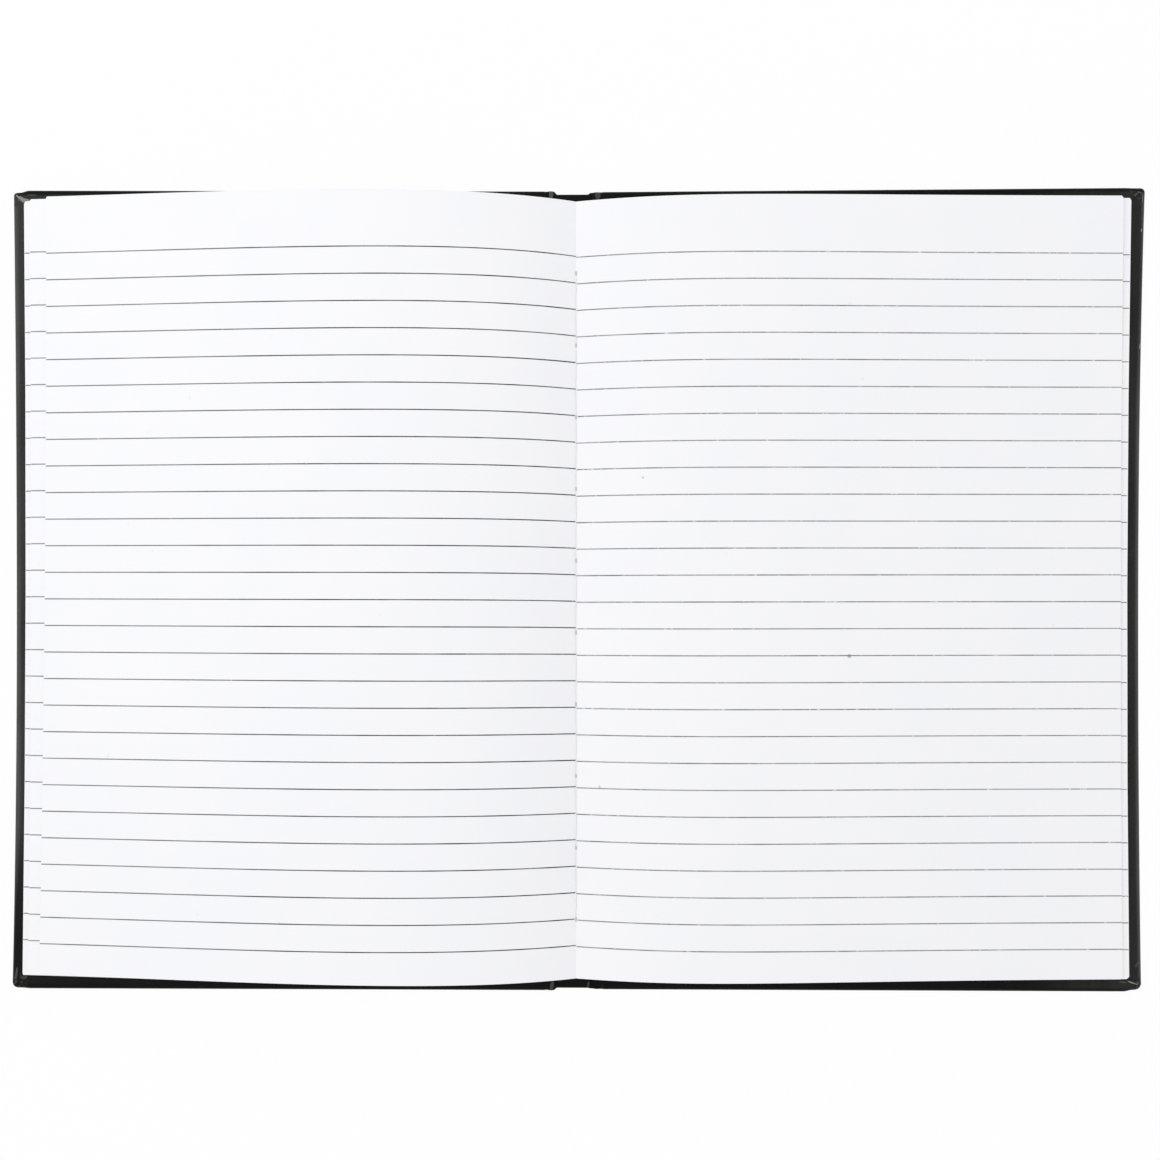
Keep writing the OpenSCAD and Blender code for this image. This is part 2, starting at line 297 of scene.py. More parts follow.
def leaf_line(stack, t, air, steps=500):
    """Side distance and height along the upper face of the leaf at t, with the share air of the fanning.

    A cubic Bezier curve from the fold to the upper fore-edge, pulled up at reach and held up at far, and
    then straight on past the edge.
    """
    u = np.linspace(0, 1, steps)[:, None]
    fold = fold_point(stack, t)
    edge = np.array([stack.side * stack.upper_x, BLOCK_Z + (stack.full + 0.5) * SECTION_T * t])
    lift = air ** AIR_SPREAD
    pull = fold + np.array([stack.side * stack.reach, lift * stack.pull])
    hold = np.array([fold[0] + stack.side * stack.far, edge[1] + lift * stack.hold])
    line = (1 - u) ** 3 * fold + 3 * (1 - u) ** 2 * u * pull + 3 * (1 - u) * u * u * hold + u ** 3 * edge
    past = edge + (edge - hold) * PAST_EDGE / abs(edge[0] - hold[0])
    line = np.concatenate([line, [past]])
    return line[:, 0] * stack.side, line[:, 1]


def leaf_height(stack, t, air):
    """A function that gives the height of that leaf's upper face at a side distance."""
    out, height = leaf_line(stack, t, air)
    return lambda distance: np.interp(distance, out, height)


def section_levels(stack, j, shuffle):
    """Levels t and shares of fanning of the leaves of section j, from the lowest up.

    The leaves are pressed evenly at the fore-edge, and cling together in clumps where they fan out.
    """
    count = SECTION_LEAVES if j < stack.full else SECTION_LEAVES // 2
    low = section_level(stack, j)
    high = 1.0 if j == stack.full else section_level(stack, j + 1 - SLIT_SHARE)
    t = low + (high - low) * np.arange(1, count + 1) / count
    gaps = LEAST_GAP + (1 - LEAST_GAP) * shuffle.random(count)
    gaps[shuffle.integers(1, 4)::shuffle.integers(3, 6)] += CLUMP_GAP
    air = low + (high - low) * np.cumsum(gaps) / gaps.sum()
    return t, air


def leaf_places(root, edge, count):
    """Side distances of a leaf's points, closer together towards the fold."""
    s = np.linspace(0, 1, count)
    return root + (edge - root) * ((1 - CROWDING) * s + CROWDING * s * s)


def as_lying(x, y, stack, j, lift, drift):
    """Moves points of flat, square leaves to where the leaves of section j lie.

    Over drift from the gutter they slip towards the head by lift, and the fore-edge bows in at the middle
    and slants.
    """
    distance = np.abs(x - GUTTER_X)
    out = ease(distance, 0, LEAN_REACH)
    slipped = y + lift * (1 - np.exp(-distance / drift))
    bowed = x * (1 + stack.bows[j] * ((y / (LEAF_H / 2)) ** 2 - 0.5) * out)
    return bowed + y * stack.skews[j] * out, slipped


def stack_heights(stack, shuffle):
    """For each section of a stack, its leaves as (height function, root distance), from the lowest up."""
    return [[(leaf_height(stack, t, air), stack.side * fold_point(stack, t)[0])
             for t, air in zip(*section_levels(stack, j, shuffle))] for j in range(stack.full + 1)]


def section_floor(stack, j):
    """Height function of the lower face of section j."""
    return leaf_height(stack, section_level(stack, j), section_level(stack, j))


def under_face(top, height_below, distance):
    """Lower face of a leaf: one paper thickness down, or less where the leaf below is nearer."""
    slope = np.gradient(top, axis=0) / np.gradient(distance, axis=0)
    paper = PAPER_SHARE * LEAF_T * np.sqrt(1 + slope ** 2)
    return top - np.minimum(paper, PAPER_SHARE * np.maximum(top - height_below, LEAST_PAPER))


def leaf_rows(half_h):
    """Heights up a leaf at which it has points, closer at the head and tail corners."""
    near = np.array([0, 0.2, 0.45, CORNER_REACH, 3.0])
    return np.concatenate([near - half_h, [-half_h / 2, 0, half_h / 2], half_h - near[::-1]])


def worn_corners(x, y, side, edge, half_h, wear):
    """Pulls the outer corners of a leaf in along a curve, by up to the two wears at head and tail."""
    near_end = np.clip(1 - (half_h - np.abs(y)) / CORNER_REACH, 0, 1) ** WEAR_CURVE
    near_edge = ease(side * x, edge - WEAR_REACH, edge)
    return x - side * np.where(y > 0, *wear) * near_end * near_edge


def tapered(x, y, taper):
    """Shortens a leaf at head and tail by up to the share taper, which it reaches towards the fore-edge."""
    return y * (1 - taper * ease(np.abs(x), 0, LEAN_REACH))


def leaf_solid(stack, j, height, below, root, shuffle):
    """One leaf of a bound section, from its root to its fore-edge, trimmed a hair unevenly."""
    edge = stack.upper_x + stack.steps[j] - TRIM_X * shuffle.random()
    half_h = LEAF_H / 2 - TRIM_Y * shuffle.random()
    distance = leaf_places(root, edge, LEAF_POINTS)[:, None]
    x, y = np.broadcast_arrays(stack.side * distance, leaf_rows(half_h)[None, :])
    x = worn_corners(x, y, stack.side, edge, half_h, stack.wear[j])
    x, y = as_lying(x, tapered(x, y, stack.tapers[j]), stack, j, stack.lifts[j], stack.drift)
    side_x = stack.side * x
    top = height(side_x)
    return sided_sheet(stack.side, x, y, top, under_face(top, below(side_x), distance))


def bound_leaves(stack, sections, shuffle):
    """All whole sections of one side, leaf by leaf."""
    solids = []
    for j in range(stack.full):
        below = section_floor(stack, j)
        for height, root in sections[j]:
            solids.append(leaf_solid(stack, j, height, below, root, shuffle))
            below = height
    return joined(solids)


def valley(left_root, right_root, count=13):
    """Cubic Bezier curve through the gutter, from root to root along the leaves, creased at its bottom."""
    s = np.linspace(0, 1, count + 2)[1:-1, None]
    width = right_root[0] - left_root[0]
    down_left = np.array([1, -LEFT_STACK.pull / LEFT_STACK.reach]) * width * VALLEY_PULL
    down_right = np.array([-1, -RIGHT_STACK.pull / RIGHT_STACK.reach]) * width * VALLEY_PULL
    line = ((1 - s) ** 3 * left_root + 3 * (1 - s) ** 2 * s * (left_root + down_left)
            + 3 * (1 - s) * s * s * (right_root + down_right) + s ** 3 * right_root)
    line[:, 1] -= FOLD_DEPTH * np.exp(-np.abs(line[:, 0] - GUTTER_X) / FOLD_HALF)
    return line


def leaf_root(stack, leaf):
    """The point of a leaf's upper face at its root, in x and z."""
    height, root = leaf
    return np.array([stack.side * root, height(root)])


def open_page_height(left, right):
    """Height over x of the uppermost sheet, from the left leaf through the gutter to the right leaf."""
    floor = valley(leaf_root(LEFT_STACK, left), leaf_root(RIGHT_STACK, right))

    def height(x):
        inside = np.interp(x, floor[:, 0], floor[:, 1])
        return np.where(x < floor[0, 0], left[0](-x), np.where(x > floor[-1, 0], right[0](x), inside))

    return height


def station_rows():
    """Heights up the page of the sewing stations."""
    return LEAF_H / 2 - STATION_PITCH - STATION_PITCH * np.arange(STATION_COUNT)


def needle_dip(x, y):
    """Depth of the dimples that needle and thread leave in the gutter, one at each station."""
    depth = np.zeros(np.broadcast(x, y).shape)
    for station in station_rows():
        depth += NEEDLE_DEPTH * np.exp(-((x - GUTTER_X) / NEEDLE_X) ** 2 - ((y - station) / NEEDLE_Y) ** 2)
    return depth


def open_sheet(left, right, below_left, below_right, fine):
    """One whole sheet of the open section: left leaf, gutter and right leaf in one.

    The uppermost is fine: it has more points, and the dimples at the needle holes.
    """
    left_height, left_root = left
    right_height, right_root = right
    points = PAGE_POINTS if fine else LEAF_POINTS
    half_h = LEAF_H / 2
    left_x = -leaf_places(left_root, LEFT_STACK.upper_x, points)[::-1]
    right_x = leaf_places(right_root, RIGHT_STACK.upper_x, points)
    floor = valley(leaf_root(LEFT_STACK, left), leaf_root(RIGHT_STACK, right))
    x = np.concatenate([left_x, floor[:, 0], right_x])[:, None]
    if fine:
        near = np.array([-1.6, -1.2, -0.9, -0.6, -0.3, 0, 0.3, 0.6, 0.9, 1.2, 1.6])
        rows = np.concatenate([np.linspace(-half_h, half_h, 31), leaf_rows(half_h),
                               (station_rows()[:, None] + near).ravel()])
        rows = np.unique(np.round(rows, 1))
    else:
        rows = leaf_rows(half_h)
    x, y = (np.array(a) for a in np.broadcast_arrays(x, rows[None, :]))
    base_x = x.copy()
    for stack, part in ((LEFT_STACK, slice(points)), (RIGHT_STACK, slice(-points, None))):
        worn = worn_corners(x[part], y[part], stack.side, stack.upper_x, half_h, stack.wear[-1])
        short = tapered(worn, y[part], stack.tapers[-1])
        x[part], y[part] = as_lying(worn, short, stack, -1, stack.lifts[-1], stack.drift)
    top = np.empty(x.shape)
    top[:points] = left_height(-x[:points])
    top[points:-points] = floor[:, 1:]
    top[-points:] = right_height(x[-points:])
    below = np.empty(x.shape)
    below[:points] = below_left(-x[:points])
    below[points:-points] = top[points:-points] - FOLD_ROOM
    below[-points:] = below_right(x[-points:])
    low = under_face(top, below, base_x)
    if fine:
        dip = needle_dip(x, y)
        top, low = top - dip, low - dip
    return sheet_solid(x, y, top, low)


def open_section(left_leaves, right_leaves):
    """The eight sheets of the section at which the book lies open."""
    solids = []
    below_left = section_floor(LEFT_STACK, LEFT_STACK.full)
    below_right = section_floor(RIGHT_STACK, RIGHT_STACK.full)
    last = len(left_leaves) - 1
    for k, (left, right) in enumerate(zip(left_leaves, right_leaves)):
        solids.append(open_sheet(left, right, below_left, below_right, k == last))
        below_left, below_right = left[0], right[0]
    return joined(solids)


def section_backs():
    """The glued folds of the sections: a low solid under each section's roots, rounded below."""
    solids = []
    y = np.array([[-LEAF_H / 2 + 0.1, LEAF_H / 2 - 0.1]])
    stacks = (LEFT_STACK, RIGHT_STACK)
    bounds = [sorted(fold_point(stack, section_level(stack, k))[0] for k in (j, j + 1))
              for stack in stacks for j in range(stack.full)]
    bounds.append([fold_point(stack, section_level(stack, stack.full))[0] for stack in stacks])
    for start, end in bounds:
        s = np.linspace(0, 1, 17)[:, None]
        x = start + (end - start) * s
        share = np.where(x < GUTTER_X, (x + BACK_X) / (GUTTER_X + BACK_X), (BACK_X - x) / (BACK_X - GUTTER_X))
        round_off = ROOT_ROUND * (1 - np.sqrt(1 - np.clip(1 - np.minimum(s, 1 - s) * 6, 0, 1) ** 2))
        low = BLOCK_Z + 0.01 + round_off * share
        top = BLOCK_Z + 0.02 + (GUTTER_Z - BLOCK_Z) * share * ROOT_SHARE
        top = np.maximum(top, low + 0.01)
        solids.append(sheet_solid(x, y, top + 0 * y, low + 0 * y))
    return joined(solids)


# Ruling

def ruled_rows():
    """Heights up the page of the ruled lines."""
    return LEAF_H / 2 - LINE_HEAD - LINE_PITCH * np.arange(LINE_COUNT)


def ribbon(stack, j, height, distance, row, shuffle):
    """One printed line, a flat ribbon on a leaf's upper face, whose width wavers a little.

    height gives the face's height over x.
    """
    points = len(distance)
    wander = np.interp(np.arange(points), np.linspace(0, points, points // 3), shuffle.random(points // 3))
    half = LINE_W / 2 * (LINE_THIN + LINE_WAVER * wander)
    x = np.stack([stack.side * distance] * 2, -1)
    y = np.stack([row - half, row + half], -1)
    if stack.side == RIGHT:
        y = y - GUTTER_SLIP * np.exp(-distance[:, None] / SLIP_FADE)
    x, y = as_lying(x, y, stack, j, stack.line_lifts[j], LINE_DRIFT)
    top = height(x) - needle_dip(x, y) * (j == stack.full) + INK_T
    return sided_sheet(stack.side, x, y, top, top - 1.5 * INK_T)


def ruling(stack, sections, page_height, shuffle):
    """The lines of an open page, and their ends on the leaves that show past its fore-edge."""
    rows = ruled_rows()
    gutter = stack.side * GUTTER_X
    distance = np.concatenate([gutter + np.array([0, 0.06, 0.12, 0.2, 0.3, 0.45]),
                               leaf_places(gutter + 0.6, stack.upper_x - 0.04, 96)])
    solids = [ribbon(stack, stack.full, page_height, distance, row, shuffle) for row in rows]
    for j in range(stack.full):
        inner, outer = stack.upper_x + stack.steps[j + 1], stack.upper_x + stack.steps[j]
        if outer > inner:
            leaf_top = sections[j][-1][0]
            end = np.linspace(inner - 1.5, outer - 0.1, 7)
            solids += [ribbon(stack, j, lambda x: leaf_top(stack.side * x), end, row, shuffle)
                       for row in rows]
    return joined(solids)


# Sewing

def stitch_line(upper, lower, points=90):
    """A stitch up the gutter: out of one needle hole, along the fold and down the next."""
    s = np.linspace(0, 1, points)
    y = upper + (lower - upper) * s
    reach = np.minimum(upper - y, y - lower)
    z = GUTTER_Z - STITCH_SINK - STITCH_DIVE * np.exp(-(reach / STITCH_BEND) ** 2)
    sway = STITCH_SWAY * np.sin(2.3 * math.pi * s + upper)
    return np.stack([GUTTER_X + sway, y, z], -1)


def ply(line, phase, pitch=1.3, radius=0.095, offset=0.08, sides=8):
    """One of two twisted plies: a round tube whose centre circles the stitch once per pitch."""
    along = np.gradient(line, axis=0)
    along /= np.linalg.norm(along, axis=1, keepdims=True)
    across = np.broadcast_to([1.0, 0.0, 0.0], line.shape)
    up = np.cross(across, along)
    length = np.concatenate([[0], np.cumsum(np.linalg.norm(np.diff(line, axis=0), axis=1))])
    turn = (2 * math.pi * length / pitch + phase)[:, None]
    centre = line + offset * (np.cos(turn) * across + np.sin(turn) * up)
    around = np.linspace(0, 2 * math.pi, sides, endpoint=False)[None, :, None]
    ring = centre[:, None] + radius * (np.cos(around) * across[:, None] + np.sin(around) * up[:, None])
    count = len(line)
    caps = [np.arange(sides)[None, :], np.arange(sides)[None, ::-1] + (count - 1) * sides]
    return ring.reshape(-1, 3), [grid_faces(count, sides, closed=True)] + caps


def sewing():
    """Nine stitches of two-ply thread between the ten stations."""
    stations = station_rows()
    return joined([ply(stitch_line(upper, lower), phase)
                   for upper, lower in zip(stations[:-1], stations[1:]) for phase in (0, math.pi)])


# Case cloth

def case_levels(x, bulge):
    """Half height, top and bottom level of the case at a distance x from the spine's middle.

    The spine stands back at head and tail, the joint bulges there and rises from the table, and the board's
    thickness lifts the turned-in cloth.
    """
    in_joint = hump(x, CARD_X, BOARD_X)
    half_h = bulge * in_joint + COVER_Y
    bottom = GROOVE * in_joint
    joint_top = 2 * CLOTH_T + JOINT_ROOM + bottom
    top = SPINE_TOP + (joint_top - SPINE_TOP) * ease(x, CARD_X - 0.05, CARD_X + 0.6)
    top = top + (TURN_TOP - top) * ease(x, BOARD_X - 1.5, BOARD_X + 0.2)
    return half_h, top, bottom


def edge_profile(top, bottom, radius):
    """Cloth wrapped round an edge: distances in from the outline, and levels.

    They run from the turned-in end over the top, round the edge with two quarter circles, and along the
    bottom.
    """
    angle = np.linspace(0, math.pi / 2, 7)
    radius, top, bottom = (np.atleast_1d(a)[:, None] for a in (radius, top, bottom))
    inward = np.array([TURN_IN, *FLAP_ROWS])[None, :] + 0 * top
    distance = np.concatenate([inward, radius * (1 - np.sin(angle)), radius * (1 - np.cos(angle)),
                               inward[:, ::-1], inward[:, :1] + UNDER_REACH], 1)
    level = np.concatenate([top + 0 * inward, top - radius * (1 - np.cos(angle)),
                            bottom + radius * (1 - np.sin(angle)), bottom + 0 * inward,
                            bottom + 0 * inward[:, :1]], 1)
    return distance, level


def corner_points(distance, level, corner_x, corner_y, radius, inset, sign):
    """The wrapped cloth round a corner of the board, seen from above a quarter circle at the outline.

    Further in than the corner's radius the points lie along the mitre, where the head flap dips under the
    fore-edge flap. Returns (angles, profile, 3).
    """
    theta = np.radians(CORNER_ANGLES)[:, None]
    arc = np.maximum(radius - distance, 0)
    spread = CORNER_SPREAD * np.abs(1 - CORNER_ANGLES[:, None] / 45) * np.clip(distance / radius, 0, 1)
    on_head = CORNER_ANGLES[:, None] < 45
    past = np.maximum(distance - radius, 0)
    x = corner_x - radius - past + arc * np.sin(theta) - np.where(on_head, spread, 0)
    y = corner_y - radius - past + arc * np.cos(theta) - np.where(on_head, 0, spread)
    on_top = np.arange(distance.shape[-1]) < 2 * len(FLAP_ROWS) + 2
    crease = CORNER_LIFT[:, None] * ease(distance, 0.35, 1.3) * on_top * (inset == 0)
    return np.stack([x, sign * y, level + crease + 0 * x], -1)


def fore_bow(y, shape):
    """How far the fore-edge stands out at height y: parabolas from the middle out to the head and tail."""
    share = (y / COVER_Y) ** 2
    return np.where(y > 0, shape.head_corner, shape.tail_corner) * share - shape.middle_in * (1 - share)


def end_out(x, near, out, cut):
    """How far head or tail stands out at x: a straight line from near to out, less cut beside the corner."""
    return near + (out - near) * x / COVER_X - cut * ease(x, COVER_X - CUT_FROM, COVER_X - CUT_TO)


def case_face(inset, shape):
    """Outer (inset 0) or inner face of half a case as (perimeter, profile, 3) points.

    The perimeter runs from the spine's middle at the head to the corner, down the fore-edge and back at the
    tail. Its columns and rows lean in towards the mitre as they leave the outline.
    """
    # Columns, closer together over the joint and beside the corner
    across = np.concatenate([np.linspace(0, CARD_X - 1.1, 4), np.linspace(CARD_X - 0.9, CARD_X + 1.1, 15),
                             np.linspace(CARD_X + 1.4, BOARD_X - 0.8, 5),
                             np.linspace(BOARD_X - 0.6, BOARD_X + 0.3, 9),
                             np.linspace(BOARD_X + 1.5, COVER_X - 8, 24),
                             COVER_X - np.linspace(6.4, LAST_COLUMN, 7)])
    lean = np.clip((across - BOARD_X - 1.5) / (across[-1] - BOARD_X - 1.5), 0, 1)
    half_h, top, bottom = case_levels(across, shape.bulge)
    room = np.maximum(top - bottom - 2 * inset, LEAST_ROOM)
    middle = (top + bottom) / 2
    top, bottom = middle + room / 2, middle - room / 2
    radius = np.minimum(EDGE_R - inset, EDGE_SHARE * room)
    distance, level = edge_profile(top, bottom, radius)
    distance[:, 0] = TURN_IN - inset
    on_board = ease(across, CARD_X + shape.joint_from, CARD_X + shape.joint_from + JOINT_EASE)
    parts = []
    for sign, near, out, cut, corner_r in (
            (1, shape.head_near, shape.head_out, shape.head_cut, shape.head_radius),
            (-1, shape.tail_near, shape.tail_out, shape.tail_cut, shape.tail_radius)):
        spine_in = COVER_Y - SPINE_Y - SPINE_BULGE + sign * SPINE_SLIP
        edge = half_h + end_out(across, near, out, cut) * on_board - spine_in * (1 - on_board)
        y = sign * (edge[:, None] - inset - distance)
        side = np.stack([across[:, None] - lean[:, None] * distance, y, level], -1)
        corner_x = COVER_X - inset + float(fore_bow(sign * COVER_Y, shape))
        corner_y = COVER_Y - inset + out - cut
        corner = corner_points(distance[-1:], level[-1:], corner_x, corner_y, corner_r - inset, inset, sign)
        parts.append(np.concatenate([side, corner]))
    rows = np.linspace(COVER_Y - LAST_COLUMN, LAST_COLUMN - COVER_Y, 35)[:, None]
    x = COVER_X - inset + fore_bow(rows, shape) - distance[-1:]
    y = rows * (1 - distance[-1:] / rows[0])
    fore = np.stack([x, y, level[-1:] + 0 * x], -1)
    return np.concatenate([parts[0], fore, parts[1][::-1]]), len(across)


def case_cloth(side, shape):
    """The cloth of half the case, a closed shell: its outer face, its inner face and the cut edges."""
    outer, head_count = case_face(0, shape)
    inner, _ = case_face(CLOTH_T, shape)
    perimeter, profile = outer.shape[:2]
    count = perimeter * profile
    number = np.arange(count).reshape(perimeter, profile)
    shell = grid_faces(perimeter, profile)
    head = number[:head_count, -1]
    tail = number[::-1][:head_count, -1]
    strips = np.stack([head[:-1], head[1:], tail[1:], tail[:-1]], -1)
    field = number[head_count - 1:perimeter - head_count + 1, -1][None, :]
    end = number[:, 0]
    turned_end = np.stack([end[:-1], end[:-1] + count, end[1:] + count, end[1:]], -1)
    cut = np.concatenate([number[0], number[-1, ::-1]])
    middle = np.stack([cut[:-1], cut[1:], cut[1:] + count, cut[:-1] + count], -1)
    points = np.concatenate([outer.reshape(-1, 3), inner.reshape(-1, 3)])
    faces = [shell, strips, field]
    faces += [block[:, ::-1] + count for block in faces]
    faces += [turned_end, middle]
    if side == LEFT:
        points = points * [-1, 1, 1]
        faces = [block[:, ::-1] for block in faces]
    return points, faces


# Boards

def millboard(side, shape):
    """A board inside its cloth: a grid stretched to the cloth's outline, with rounded edges and corners."""
    near = np.array([0, 0.08, 0.2, 0.4, 0.7, 1.1])
    length = COVER_X - BOARD_X
    x = np.concatenate([near, np.linspace(8, length - 8, 14), length - near[::-1]])[:, None]
    x = BOARD_X + BOARD_GAP + x
    half_h = COVER_Y - CLOTH_T - BOARD_SHORT_Y
    y = np.concatenate([near - half_h, np.linspace(8 - half_h, half_h - 8, 21), half_h - near[::-1]])[None, :]
    head = end_out(x, shape.head_near, shape.head_out, shape.head_cut)
    tail = end_out(x, shape.tail_near, shape.tail_out, shape.tail_cut)
    out = ease(x, BOARD_X, COVER_X)
    stretched = x - (CLOTH_T + BOARD_SHORT_X) * out + fore_bow(y, shape) * out
    placed = worn_corners(stretched, y, 1, COVER_X - CLOTH_T, half_h, (BOARD_CORNER, BOARD_CORNER))
    lying = y * (1 + np.where(y > 0, head, tail) / half_h)
    inside = np.minimum(np.minimum(x - x[0], x[-1] - x), half_h - np.abs(y))
    round_off = BOARD_ROUND * (1 - np.sqrt(1 - np.clip(1 - inside / BOARD_ROUND, 0, 1) ** 2))
    return sided_sheet(side, side * placed, lying, BOARD_TOP - BOARD_SKIN - round_off,
                       CLOTH_T + BOARD_SKIN + round_off)


# Endpapers

def endpaper(stack):
    """Pastedown and hinge in one sheet, just inside the lowest leaves' edge and as worn as they are.

    It runs over the turned-in cloth and the board, through the joint and up to the foot of the first leaf.
    """
    edge = stack.upper_x + stack.steps[0] - PASTE_INSIDE
    start_x, end_x = (COVER_X - TURN_IN - reach for reach in STEP_X)
    start_y, end_y = (COVER_Y - TURN_IN - reach for reach in STEP_Y)
    x = np.concatenate([np.linspace(BACK_X + 0.04, BOARD_X + 0.4, 26),
                        np.linspace(BOARD_X + 1.5, start_x - 0.4, 12),
                        np.linspace(start_x, end_x + 0.1, 9), np.linspace(end_x + 1, edge, 9)])[:, None]
    step_y = np.linspace(start_y, end_y + 0.1, 9)
    to_head = np.concatenate([np.linspace(end_y + 1, PASTE_Y - 2, 4),
                              PASTE_Y - np.array([1.15, 0.6, 0.25, 0])])
    y = np.concatenate([-to_head[::-1], -step_y[::-1], np.linspace(-start_y + 1.1, start_y - 1.1, 17), step_y,
                        to_head])[None, :]
    rise = np.maximum(ease(x, start_x, end_x), ease(np.abs(y), start_y, end_y))
    on_board = BOARD_TOP + PASTE_T + CLOTH_T * rise - PASTE_SINK
    hinge = BLOCK_Z - PASTE_SINK - PASTE_SAG * hump(x, BACK_X, BOARD_X + 0.4)
    top = hinge + (on_board - hinge) * ease(x, BOARD_X - 1.2, BOARD_X + 0.2)
    flat_x, flat_y = np.broadcast_arrays(x, y)
    flat_x = worn_corners(flat_x, flat_y, 1, edge, PASTE_Y, stack.wear[0])
    lying_x, lying_y = as_lying(stack.side * flat_x, flat_y, stack, 0, stack.lifts[0], stack.drift)
    return sided_sheet(stack.side, lying_x, lying_y, top, top - PASTE_T)


# Finishes

class Shade:
    """A socket in a material. Arithmetic on it adds Math nodes, with numbers or sockets on either side."""

    def __init__(self, tree, socket):
        self.tree = tree
        self.socket = socket

    def node(self, kind, settings=(), inputs=(), output=0):
        """Adds any node: first its settings, then the values or links of its sockets, by name or number."""
        made = self.tree.nodes.new(kind)
        for name, value in dict(settings).items():
            setattr(made, name, value)
        for name, value in dict(inputs).items():
            if isinstance(value, Shade):
                self.tree.links.new(value.socket, made.inputs[name])
            else:
                made.inputs[name].default_value = value
        return Shade(self.tree, made.outputs[output] if made.outputs else None)

    def math(self, operation, first, second=0.0):
        return self.node("ShaderNodeMath", {"operation": operation}, {0: first, 1: second})

    def __add__(self, other):
        return self.math("ADD", self, other)

    __radd__ = __add__

    def __sub__(self, other):
        return self.math("SUBTRACT", self, other)

    def __rsub__(self, other):
        return self.math("SUBTRACT", other, self)

    def __mul__(self, other):
        return self.math("MULTIPLY", self, other)

    __rmul__ = __mul__

    def size(self):
        return self.math("ABSOLUTE", self)

    def most(self, other):
        return self.math("MAXIMUM", self, other)

    def between(self, start, end):
        """Smooth step of the value from 0 at start to 1 at end."""
        return self.node("ShaderNodeMapRange", {"interpolation_type": "SMOOTHSTEP"},
                         {"Value": self, "From Min": start, "From Max": end})

    def near(self, place, reach):
        """1 at a place, easing to 0 at reach from it."""
        return 1 - (self - place).size().between(0, reach)

    def mix(self, first, second):
        """The first colour where this factor is 0, the second where it is 1."""
        return self.node("ShaderNodeMix", {"data_type": "RGBA"}, {0: self, 6: first, 7: second}, 2)

    def noise(self, scale, detail=2.0, roughness=0.5, stretch=(1, 1, 1)):
        """Noise over this vector, scale waves to the metre."""
        stretched = self.node("ShaderNodeVectorMath", {"operation": "MULTIPLY"}, {0: self, 1: stretch})
        return self.node("ShaderNodeTexNoise", {},
                         {"Vector": stretched, "Scale": scale, "Detail": detail, "Roughness": roughness})

    def cells(self, scale, smoothness):
        """Rounded distance to the cells of a Voronoi pattern over this vector."""
        return self.node("ShaderNodeTexVoronoi", {"feature": "SMOOTH_F1"},
                         {"Vector": self, "Scale": scale, "Smoothness": smoothness})

    def bump(self, distance, strength=1.0, normal=None):
        """Normal of a surface raised by this height, in shares of distance."""
        inputs = {"Height": self, "Distance": distance, "Strength": strength}
        if normal is not None:
            inputs["Normal"] = normal
        return self.node("ShaderNodeBump", {}, inputs)


def new_finish(name):
    """An empty material, its Object coordinates and their three parts in metres."""
    finish = bpy.data.materials.new(name)
    finish.use_nodes = True
    finish.node_tree.nodes.clear()
    start = Shade(finish.node_tree, None)
    place = start.node("ShaderNodeTexCoord", output=3)
    parts = [start.node("ShaderNodeSeparateXYZ", {}, {0: place}, i) for i in range(3)]
    return finish, start, place, parts


def surface(start, **sockets):
    """Ends a material in one Principled shader with the given sockets."""
    names = {name.replace("_", " ").title(): value for name, value in sockets.items()}
    if "Specular" in names:
        names["Specular IOR Level"] = names.pop("Specular")
    shader = start.node("ShaderNodeBsdfPrincipled", {}, names)
    start.node("ShaderNodeOutputMaterial", {}, {"Surface": shader})


def grey(level):
    return (level, level, level, 1.0)


# Flecks on the open pages: x, y, size and darkness
PAPER_MARKS = ((73.5, -17.4, 0.9, 0.75), (18.6, 30.2, 0.55, 0.5), (7.0, -52.8, 0.55, 0.45))


def page_paper():
    """White uncoated paper: fibres, faint clouds, a few flecks of dirt and the shade down a needle hole."""
    finish, start, place, (x, y, _) = new_finish("page_paper")
    clouds = place.noise(38, 3, 0.55)
    fibre = place.noise(5200, 2, 0.6, (1, 0.35, 1))
    colour = clouds.between(0.3, 0.75).mix((0.918, 0.92, 0.95, 1), (0.93, 0.93, 0.955, 1))
    flecks = place.node("ShaderNodeTexNoise", {}, {"Vector": place, "Scale": 700.0, "Detail": 0.0})
    fleck_mask = flecks.between(0.88, 0.92) * 0.12
    for fleck_x, fleck_y, size, depth in PAPER_MARKS:
        reach = x.near(fleck_x * MM, size * MM) * y.near(fleck_y * MM, size * MM)
        fleck_mask = fleck_mask.most(reach.between(0.2, 0.6) * depth)
    colour = fleck_mask.mix(colour, (0.32, 0.31, 0.29, 1))
    station = (y - float(station_rows()[0]) * MM) * (1 / (STATION_PITCH * MM))
    off_station = (station - start.math("ROUND", station)).size() * STATION_PITCH
    hole = (1 - off_station.between(0.3, 0.9)) * x.near(GUTTER_X * MM, 0.45 * MM)
    hole = hole * (1 - station.between(0.3, 0.4))
    colour = hole.mix(colour, (0.5, 0.5, 0.5, 1))
    cockle = place.noise(24, 1, 0.4, (1, 0.5, 1)).bump(0.0002, 0.15)
    surface(start, base_color=colour, roughness=0.78, specular=0.25,
            normal=fibre.bump(0.000012, 0.5, cockle))
    return finish


